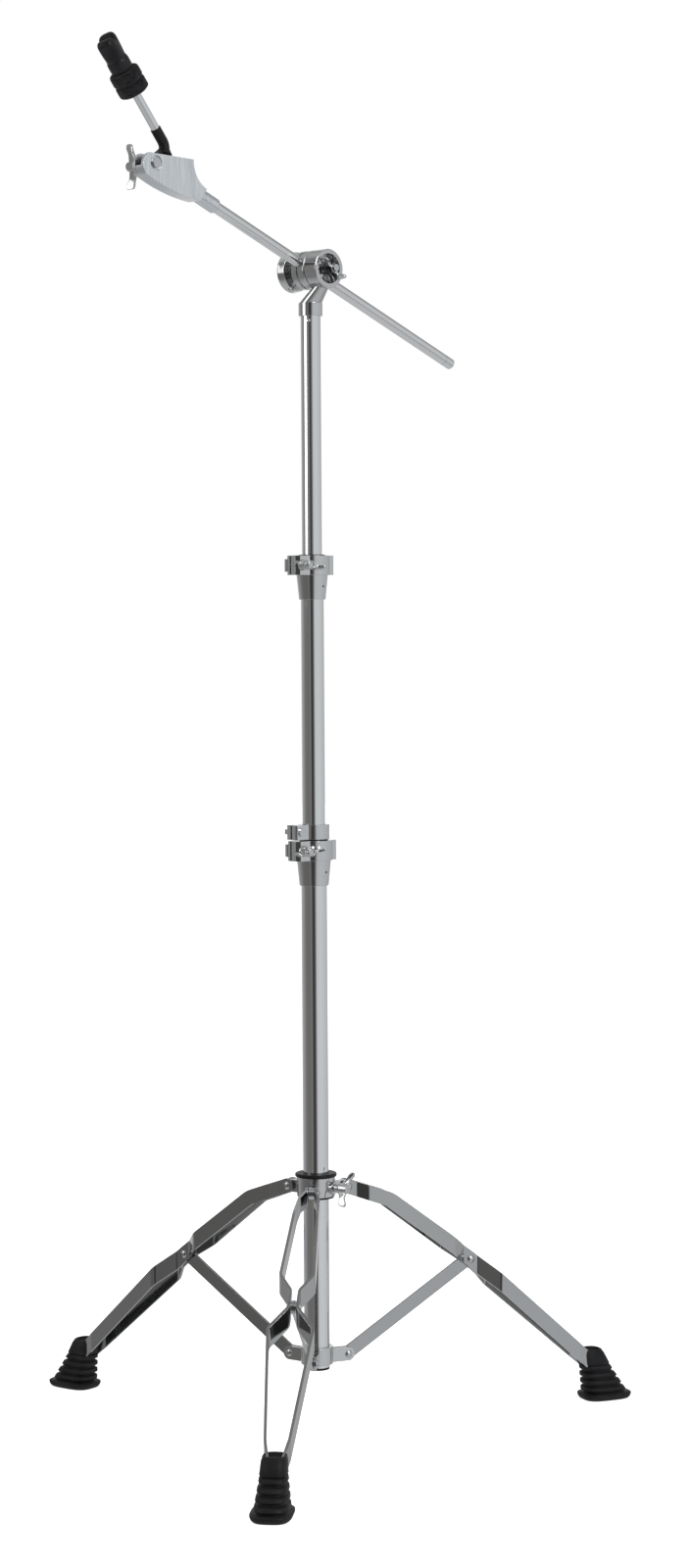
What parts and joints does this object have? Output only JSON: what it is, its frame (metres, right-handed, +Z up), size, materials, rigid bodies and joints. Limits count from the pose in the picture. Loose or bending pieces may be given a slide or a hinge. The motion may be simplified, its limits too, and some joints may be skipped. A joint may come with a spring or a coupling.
{
  "type": "cymbal boom stand",
  "caption": "Chromed cymbal boom stand: folding double-braced tripod, telescoping column with clamps, tilter, sliding boom rod and tilting cymbal post with felts and hand nut.",
  "frame": {"origin": "on the column axis at floor level", "axes": "+Z up the column; the front leg points along -Y; +X to the right of someone facing the front leg"},
  "size_m": [0.6814, 0.5941, 1.511],
  "materials": {
    "chrome_tube": "mirror",
    "chrome_casting": "polished casting",
    "chrome_strap": "polished flat bar",
    "satin_casting": "brushed plate",
    "steel_fastener": "plated steel",
    "foot_rubber": "matt moulded rubber",
    "black_casting": "black coated",
    "black_nylon": "moulded nylon",
    "black_felt": "dense felt"
  },
  "bodies": {
    "base": {"lower_tube": "chrome_tube", "tube_end_plug": "black_nylon", "lower_bracket": "chrome_casting", "bracket_rivets": "steel_fastener", "lower_clamp": "chrome_casting", "lower_clamp_bushing": "black_nylon", "lower_clamp_bolt": "steel_fastener", "memory_lock": "chrome_casting", "memory_lock_bolt": "steel_fastener"},
    "lower_clamp_nut": {"lower_clamp_wing_nut": "chrome_casting"},
    "collar": {"leg_collar": "chrome_casting", "collar_bushing": "black_nylon", "leg_pivot_rivets": "steel_fastener"},
    "collar_bolt": {"collar_wing_bolt": "chrome_casting"},
    "middle_glide": {"middle_tube_glide": "black_nylon"},
    "middle": {"middle_tube": "chrome_tube", "upper_clamp": "chrome_casting", "upper_clamp_bushing": "black_nylon", "upper_clamp_bolt": "steel_fastener"},
    "upper_clamp_nut": {"upper_clamp_wing_nut": "chrome_casting"},
    "upper_glide": {"upper_tube_glide": "black_nylon"},
    "upper": {"upper_tube": "chrome_tube", "tilter_base": "chrome_casting"},
    "tilter": {"tilter_drum": "chrome_casting", "tilter_washer": "black_nylon", "tilter_eye_bolt": "steel_fastener"},
    "tilter_nut": {"tilter_wing_nut": "chrome_casting"},
    "rod_bolt": {"rod_wing_bolt": "chrome_casting"},
    "boom_slider": {"boom_end_cap": "chrome_tube"},
    "boom": {"boom_rod": "chrome_tube", "rod_holder": "satin_casting", "hinge_bolt": "steel_fastener", "hinge_washer": "steel_fastener"},
    "hinge_nut": {"hinge_wing_nut": "chrome_casting"},
    "post": {"post_elbow": "black_casting", "post_rod": "chrome_tube", "cup_washer": "steel_fastener", "cymbal_sleeve": "black_nylon", "lower_felt": "black_felt", "upper_felt": "black_felt"},
    "cymbal_hand_nut": {"cymbal_nut": "black_nylon"},
    "front_strut": {"front_strut": "chrome_strap"},
    "front_leg": {"front_leg_strap_near": "chrome_strap", "front_leg_strap_far": "chrome_strap", "front_leg_rivet": "steel_fastener", "front_leg_spacers": "steel_fastener", "front_foot": "foot_rubber"},
    "right_strut": {"right_strut": "chrome_strap"},
    "right_leg": {"right_leg_strap_near": "chrome_strap", "right_leg_strap_far": "chrome_strap", "right_leg_rivet": "steel_fastener", "right_leg_spacers": "steel_fastener", "right_foot": "foot_rubber"},
    "left_strut": {"left_strut": "chrome_strap"},
    "left_leg": {"left_leg_strap_near": "chrome_strap", "left_leg_strap_far": "chrome_strap", "left_leg_rivet": "steel_fastener", "left_leg_spacers": "steel_fastener", "left_foot": "foot_rubber"}
  },
  "joints": [
    {"name": "front_strut_hinge", "type": "hinge", "parent": "base", "child": "front_strut", "pos_m": [0, -0.036, 0.081], "axis": [-1, 0, 0], "range_deg": [0, 48]},
    {"name": "front_leg_hinge", "type": "hinge", "parent": "front_strut", "child": "front_leg", "pos_m": [0, -0.186, 0.174], "axis": [1, 0, 0], "range_deg": [0, 96]},
    {"name": "right_strut_hinge", "type": "hinge", "parent": "base", "child": "right_strut", "pos_m": [0.03118, 0.018, 0.081], "axis": [0.5, -0.866, 0], "range_deg": [0, 48]},
    {"name": "right_leg_hinge", "type": "hinge", "parent": "right_strut", "child": "right_leg", "pos_m": [0.16108, 0.093, 0.174], "axis": [-0.5, 0.866, 0], "range_deg": [0, 96]},
    {"name": "left_strut_hinge", "type": "hinge", "parent": "base", "child": "left_strut", "pos_m": [-0.03118, 0.018, 0.081], "axis": [0.5, 0.866, 0], "range_deg": [0, 48]},
    {"name": "left_leg_hinge", "type": "hinge", "parent": "left_strut", "child": "left_leg", "pos_m": [-0.16108, 0.093, 0.174], "axis": [-0.5, -0.866, 0], "range_deg": [0, 96]},
    {"name": "collar_hinge", "type": "hinge", "parent": "front_leg", "child": "collar", "pos_m": [0, -0.036, 0.267], "axis": [-1, 0, 0], "range_deg": [0, 48]},
    {"name": "collar_bolt_turn", "type": "hinge", "parent": "collar", "child": "collar_bolt", "pos_m": [0.02771, -0.016, 0.2695], "axis": [0.866, -0.5, 0], "continuous": true},
    {"name": "lower_clamp_nut_turn", "type": "hinge", "parent": "base", "child": "lower_clamp_nut", "pos_m": [-0.004, -0.03228, 0.641], "axis": [0.7071, -0.7071, 0], "continuous": true},
    {"name": "middle_tube_slide", "type": "slide", "parent": "base", "child": "middle_glide", "axis": [0, 0, 1], "range_m": [-0.2, 0.14]},
    {"name": "middle_tube_swivel", "type": "hinge", "parent": "middle_glide", "child": "middle", "pos_m": [0, 0, 0.43], "axis": [0, 0, 1], "continuous": true},
    {"name": "upper_clamp_nut_turn", "type": "hinge", "parent": "middle", "child": "upper_clamp_nut", "pos_m": [-0.00286, -0.03115, 0.95565], "axis": [0.7071, -0.7071, 0], "continuous": true},
    {"name": "upper_tube_slide", "type": "slide", "parent": "middle", "child": "upper_glide", "axis": [0, 0, 1], "range_m": [-0.24, 0.12]},
    {"name": "upper_tube_swivel", "type": "hinge", "parent": "upper_glide", "child": "upper", "pos_m": [0, 0, 0.74], "axis": [0, 0, 1], "continuous": true},
    {"name": "boom_tilt", "type": "hinge", "parent": "upper", "child": "tilter", "pos_m": [0, 0, 1.2818], "axis": [-0.788, 0.6157, 0], "range_deg": [-70, 35]},
    {"name": "tilter_nut_turn", "type": "hinge", "parent": "tilter", "child": "tilter_nut", "pos_m": [0.0197, -0.01539, 1.2818], "axis": [0.788, -0.6157, 0], "continuous": true},
    {"name": "rod_bolt_turn", "type": "hinge", "parent": "tilter", "child": "rod_bolt", "pos_m": [-0.01182, 0.00924, 1.2818], "axis": [-0.788, 0.6157, 0], "continuous": true},
    {"name": "boom_slide", "type": "slide", "parent": "tilter", "child": "boom_slider", "axis": [-0.57, -0.7296, 0.3778], "range_m": [-0.12, 0.2]},
    {"name": "boom_roll", "type": "hinge", "parent": "boom_slider", "child": "boom", "pos_m": [0.1311, 0.16781, 1.1949], "axis": [-0.57, -0.7296, 0.3778], "continuous": true},
    {"name": "hinge_nut_turn", "type": "hinge", "parent": "boom", "child": "hinge_nut", "pos_m": [-0.16449, -0.16993, 1.37777], "axis": [-0.788, 0.6157, 0], "continuous": true},
    {"name": "post_tilt", "type": "hinge", "parent": "boom", "child": "post", "pos_m": [-0.14479, -0.18532, 1.37777], "axis": [0.788, -0.6157, 0], "range_deg": [0, 75]},
    {"name": "cymbal_nut_turn", "type": "hinge", "parent": "post", "child": "cymbal_hand_nut", "pos_m": [-0.17464, -0.22353, 1.48421], "axis": [-0.3858, -0.4938, 0.7793], "continuous": true}
  ],
  "couplings": [
    {"joint": "front_leg_hinge", "follows": "front_strut_hinge", "ratio": 2},
    {"joint": "right_leg_hinge", "follows": "front_strut_hinge", "ratio": 2},
    {"joint": "right_strut_hinge", "follows": "front_strut_hinge", "ratio": 1},
    {"joint": "left_leg_hinge", "follows": "front_strut_hinge", "ratio": 2},
    {"joint": "left_strut_hinge", "follows": "front_strut_hinge", "ratio": 1},
    {"joint": "collar_hinge", "follows": "front_strut_hinge", "ratio": 1}
  ]
}
